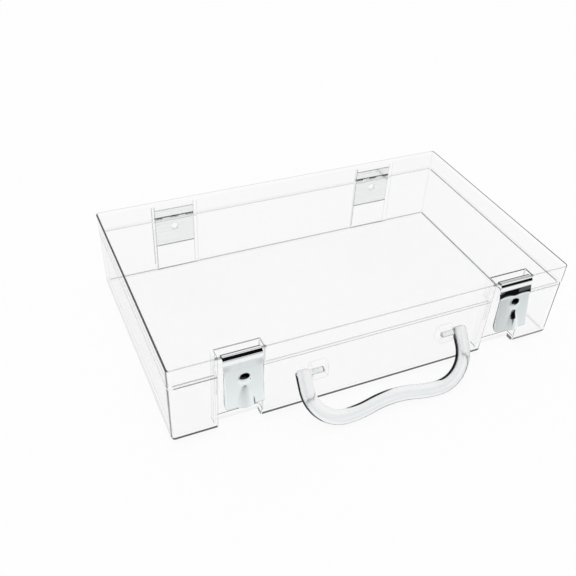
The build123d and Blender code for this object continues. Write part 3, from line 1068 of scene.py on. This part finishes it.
def makeHandle(look, material):
    half = handlePath(look) + [Vector((look["armX"], look["thickness"] / 2))]
    route = [Vector((-p.x, p.y)) for p in reversed(half)] + half[1:]
    mesh = bpy.data.meshes.new("handle_bow")
    edges = [(i, i + 1) for i in range(len(route) - 1)]
    mesh.from_pydata([[mm(p.x), mm(p.y), 0] for p in route], edges, [])
    handle = addObject(mesh.name, mesh)
    sweep = handle.modifiers.new("sweep", "NODES")
    sweep.node_group = makeSweep()
    values = {
        "Width": mm(look["width"]), "Thickness": mm(look["thickness"]), "Edge": mm(look["edge"]),
        "Rounds": look["rounds"], "Material": material}
    for item in sweep.node_group.interface.items_tree:
        if item.in_out == "INPUT" and item.name in values:
            sweep[item.identifier] = values[item.name]
    applyModifiers(handle)
    # round the bar's two ends about the pivot
    rounding = handle.modifiers.new("endRounding", "BEVEL")
    rounding.width = mm(look["endRound"])
    rounding.segments = look["rounds"]
    rounding.limit_method = "ANGLE"
    rounding.angle_limit = math.radians(look["endAngle"])
    applyModifiers(handle)
    # from the bow's own plane to where it hangs
    turn = Matrix.Rotation(math.radians(look["restAngle"]), 4, "X")
    spot = Vector([mm(v) for v in (0, look["pivotY"], look["pivotZ"])])
    handle.data.transform(Matrix.Translation(spot) @ turn)
    stubs = makeStubs(look)
    joining = handle.modifiers.new("stubs", "BOOLEAN")
    joining.operation = "UNION"
    joining.solver = "EXACT"
    joining.object = stubs
    applyModifiers(handle)
    bpy.data.objects.remove(stubs)
    shape = bmesh.new()
    shape.from_mesh(handle.data)
    bmesh.ops.recalc_face_normals(shape, faces=shape.faces)
    shape.to_mesh(handle.data)
    shape.free()
    smoothPiece(handle, material, look["sharpAngle"])
    finishPiece(handle, "handle", "handle")


makeHandle(handleLook, bar)
print("handle made")


# Paper sweep and studio
studioLook = {
    "paper": "#F4F4F4",
    "paperShade": 0.12,
    "bounces": 48,
    "clearPasses": 64,
    "floorSize": 20,
    "floorDrop": mm(0.3),
    # m towards the front, and how bright the metal sees the paper there
    "sweepEdges": [(0.0, 1.0), (0.13, 1.0), (0.20, 0.80), (0.32, 0.62), (0.6, 0.42), (1.2, 0.34)],
    "blackWay": (0.57, -0.82, 0.0),
    "blackFrom": (0.27, 0.31),
    "blackRight": (0.12, 0.19),
    "darkFrom": 0.24,
    "darkSoft": 0.06,
    "darkDrop": -0.32,
    "glossDark": 0.004,
    "seeDark": 0.3,
    "horizon": 0.8,
    "backLow": 0.35,
    # parts of the room, each a product of ramps along the axes of the way that a ray goes
    "parts": {
        "front": [("Y", 0.45, 0.55, falling)],
        "rightLow": [("X", 0.36, 0.46, rising), ("Y", -0.2, 0.0, falling)],
        "softBox": [("X", 0.40, 0.46, rising), ("Z", 0.70, 0.76, rising)],
        "horizon": [("Y", -0.1, 0.1, falling)],
        "backLow": [("Y", 0.1, 0.3, rising), ("Z", 0.45, 0.55, falling)],
    },
}


def makeFloor(look):
    material, tree = newMaterial("paperSweep")
    path = addNode(tree, "LightPath").outputs
    seen = path["Is Camera Ray"]
    for ray in ("Is Glossy Ray", "Is Transmission Ray"):
        seen = addNode(tree, "Math", {"operation": "MAXIMUM", 0: seen, 1: path[ray]})
    seen = addNode(tree, "Math", {"operation": "MULTIPLY", 0: seen, 1: 1 - look["paperShade"]})
    paper = addNode(tree, "BsdfDiffuse", {"Color": hexColour(look["paper"])})
    # bright metal sees the sweep fade towards the dark front of the room, and black at its right
    place = addNode(tree, "TexCoord").outputs["Object"]
    axes = addNode(tree, "SeparateXYZ", {0: place}).outputs
    span = look["sweepEdges"][-1][0]
    reach = addNode(tree, "Math", {"operation": "DIVIDE", 0: axes["Y"], 1: -span})
    fade = addNode(tree, "ValToRGB", {0: reach})
    stops = fade.color_ramp.elements
    for index, (far, level) in enumerate(look["sweepEdges"]):
        stop = stops[index] if index < len(stops) else stops.new(1.0)
        stop.position = far / span
        stop.color = (level, level, level, 1)
    toRight = addNode(tree, "VectorMath", {
        "operation": "DOT_PRODUCT", 0: place, 1: look["blackWay"]}).outputs["Value"]
    black = 1.0
    for value, (low, high) in ((toRight, look["blackFrom"]), (axes["X"], look["blackRight"])):
        ramp = addNode(tree, "MapRange", {**rising, "Value": value, "From Min": low, "From Max": high})
        black = addNode(tree, "Math", {"operation": "MULTIPLY", 0: black, 1: ramp})
    lit = addNode(tree, "Mix", {"data_type": "FLOAT", 0: black, 2: fade, 3: 0.0})
    strength = addNode(tree, "Mix", {"data_type": "FLOAT", 0: path["Is Glossy Ray"], 2: 1.0, 3: lit})
    glow = addNode(tree, "Emission", {"Color": (1, 1, 1, 1), "Strength": strength})
    mix = addNode(tree, "MixShader", {0: seen, 1: paper, 2: glow})
    addNode(tree, "OutputMaterial", {"Surface": mix})
    bpy.ops.mesh.primitive_plane_add(size=look["floorSize"], location=(0, 0, -look["floorDrop"]))
    floor = bpy.context.object
    floor.name = "floor"
    floor.data.materials.append(material)


def makeWorld(look):
    world = bpy.data.worlds.new("studio")
    world.use_nodes = True
    tree = world.node_tree
    tree.nodes.clear()
    way = addNode(tree, "TexCoord").outputs["Generated"]
    axes = addNode(tree, "SeparateXYZ", {0: way}).outputs
    path = addNode(tree, "LightPath").outputs
    parts = {}
    for name, ramps in look["parts"].items():
        parts[name] = 1.0
        for axis, low, high, course in ramps:
            ramp = addNode(tree, "MapRange", {
                **course, "Value": axes[axis], "From Min": low, "From Max": high})
            parts[name] = addNode(tree, "Math", {"operation": "MULTIPLY", 0: parts[name], 1: ramp})
    # the front is dark above an edge that lies lower at the right, apart from the soft box
    lowEdge = addNode(tree, "Math", {
        "operation": "MULTIPLY_ADD", 0: parts["rightLow"], 1: look["darkDrop"], 2: look["darkFrom"]})
    above = addNode(tree, "Math", {"operation": "SUBTRACT", 0: axes["Z"], 1: lowEdge})
    high = addNode(tree, "MapRange", {
        **rising, "Value": above, "From Min": 0.0, "From Max": look["darkSoft"]})
    bare = addNode(tree, "Math", {"operation": "SUBTRACT", 0: 1.0, 1: parts["softBox"]})
    # the plastic sees that dark more faintly than the metal does, and nothing else sees it
    see = addNode(tree, "Math", {
        "operation": "MULTIPLY", 0: path["Is Transmission Ray"], 1: look["seeDark"]})
    see = addNode(tree, "Math", {"operation": "MAXIMUM", 0: path["Is Glossy Ray"], 1: see})
    dark = parts["front"]
    for part in (high, bare, see):
        dark = addNode(tree, "Math", {"operation": "MULTIPLY", 0: dark, 1: part})
    strength = addNode(tree, "Math", {
        "operation": "MULTIPLY_ADD", 0: dark, 1: look["glossDark"] - 1, 2: 1.0})
    # grey low in the front, and low at the back, for the bright metal only
    for name in ("horizon", "backLow"):
        part = addNode(tree, "Math", {
            "operation": "MULTIPLY", 0: parts[name], 1: path["Is Glossy Ray"]})
        part = addNode(tree, "Math", {"operation": "MULTIPLY_ADD", 0: part, 1: look[name] - 1, 2: 1.0})
        strength = addNode(tree, "Math", {"operation": "MULTIPLY", 0: strength, 1: part})
    sky = addNode(tree, "Background", {"Color": (1, 1, 1, 1), "Strength": strength})
    addNode(tree, "OutputWorld", {"Surface": sky})
    bpy.context.scene.world = world


makeFloor(studioLook)
makeWorld(studioLook)
makeCamera(cameraPlace)
cycles = bpy.context.scene.cycles
cycles.max_bounces = cycles.transmission_bounces = cycles.glossy_bounces = studioLook["bounces"]
cycles.transparent_max_bounces = studioLook["clearPasses"]
bpy.context.scene.view_settings.view_transform = "Standard"
